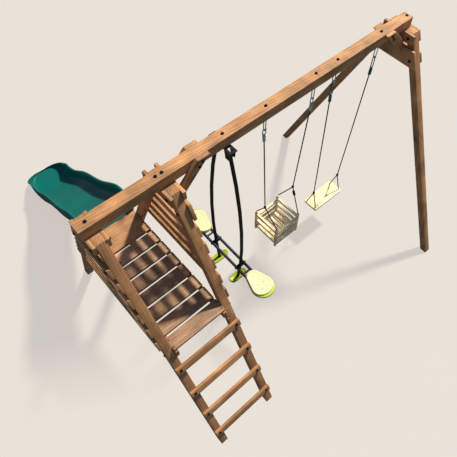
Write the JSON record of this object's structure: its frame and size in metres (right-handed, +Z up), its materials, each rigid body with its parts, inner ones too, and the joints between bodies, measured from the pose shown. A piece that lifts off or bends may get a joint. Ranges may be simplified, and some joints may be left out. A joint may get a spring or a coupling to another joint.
{
  "type": "swing set",
  "caption": "Timber A-frame play set with a ladder tower, a wavy slide, a two-seat glider, a slatted box swing and a plank swing under one beam.",
  "frame": {"origin": "middle of the ground footprint of the whole set, on the ground", "axes": "+X along the top beam from the tower to the far end, +Y from the ladder side to the slide side, +Z up"},
  "size_m": [3.3475, 4.0828, 2.514],
  "materials": {
    "brown_timber": "stained, weathered, matt",
    "green_plastic": "moulded, half gloss",
    "black_metal": "powder coated, satin",
    "zinc_metal": "hot dip zinc, dull",
    "indigo_metal": "powder coated, satin",
    "cream_plastic": "moulded, matt",
    "lime_plastic": "moulded, matt",
    "honey_wood": "oiled softwood",
    "dark_rope": "braided synthetic rope",
    "pale_wood": "clear varnished",
    "green_rope": "braided synthetic rope",
    "green_metal": "painted, satin"
  },
  "bodies": {
    "frame": {"top_beam": "brown_timber", "leg_left_front": "brown_timber", "leg_left_back": "brown_timber", "leg_middle_front": "brown_timber", "leg_middle_back": "brown_timber", "leg_right_front": "brown_timber", "leg_right_back": "brown_timber", "head_block_left": "brown_timber", "head_block_middle": "brown_timber", "head_block_right": "brown_timber", "tie_left_outer": "brown_timber", "tie_left_inner": "brown_timber", "tie_middle_inner": "brown_timber", "tie_middle_outer": "brown_timber", "tie_right_inner": "brown_timber", "tie_right_outer": "brown_timber", "low_tie_left": "brown_timber", "landing_board_middle": "brown_timber", "landing_board_right": "brown_timber", "low_tie_right": "brown_timber", "knee_brace_middle_front": "brown_timber", "knee_brace_middle_back": "brown_timber", "knee_brace_right_front": "brown_timber", "knee_brace_right_back": "brown_timber", "joist_left": "brown_timber", "joist_right": "brown_timber", "deck_planks": "brown_timber", "deck_back_board": "brown_timber", "guard_left_lower": "brown_timber", "guard_left_upper": "brown_timber", "guard_right_lower": "brown_timber", "guard_right_upper": "brown_timber", "rung_1": "brown_timber", "rung_2": "brown_timber", "rung_3": "brown_timber", "rung_4": "brown_timber", "slide": "green_plastic", "frame_bolts": "black_metal", "wood_screws": "black_metal", "swing_hangers": "zinc_metal", "glider_bracket": "black_metal", "glider_top_pins": "black_metal"},
    "glider_arm_front": {"glider_arm_front": "black_metal", "footrest_front": "lime_plastic"},
    "glider_arm_back": {"glider_arm_back": "black_metal", "footrest_back": "lime_plastic"},
    "glider_seesaw": {"glider_rails": "indigo_metal", "glider_rail_pins": "black_metal", "glider_seat_front": "cream_plastic", "glider_seat_back": "cream_plastic"},
    "box_swing": {"box_long_rails": "honey_wood", "box_cross_rails": "honey_wood", "box_floor": "honey_wood", "box_spacers": "honey_wood", "box_ropes": "dark_rope", "box_links": "zinc_metal", "box_toggle": "black_metal"},
    "plank_swing": {"plank_seat": "pale_wood", "plank_ropes": "green_rope", "plank_links": "green_metal"}
  },
  "joints": [
    {"name": "glider_swing_front", "type": "hinge", "parent": "frame", "child": "glider_arm_front", "pos_m": [-0.4795, -0.8786, 2.33], "axis": [1, 0, 0], "range_deg": [-20, 20]},
    {"name": "glider_swing_back", "type": "hinge", "parent": "frame", "child": "glider_arm_back", "pos_m": [-0.4795, -0.7186, 2.33], "axis": [1, 0, 0], "range_deg": [-20, 20]},
    {"name": "glider_rock", "type": "hinge", "parent": "glider_arm_front", "child": "glider_seesaw", "pos_m": [-0.4795, -0.98679, 0.75], "axis": [1, 0, 0], "range_deg": [-9, 9]},
    {"name": "box_swing_hang", "type": "hinge", "parent": "frame", "child": "box_swing", "pos_m": [0.2055, -0.7986, 2.2473], "axis": [1, 0, 0], "range_deg": [-55, 55]},
    {"name": "plank_swing_hang", "type": "hinge", "parent": "frame", "child": "plank_swing", "pos_m": [0.9875, -0.7986, 2.2473], "axis": [1, 0, 0], "range_deg": [-55, 55]}
  ],
  "couplings": [
    {"joint": "glider_swing_back", "follows": "glider_swing_front", "ratio": 1},
    {"joint": "glider_rock", "follows": "glider_swing_front", "ratio": -0.4233}
  ]
}
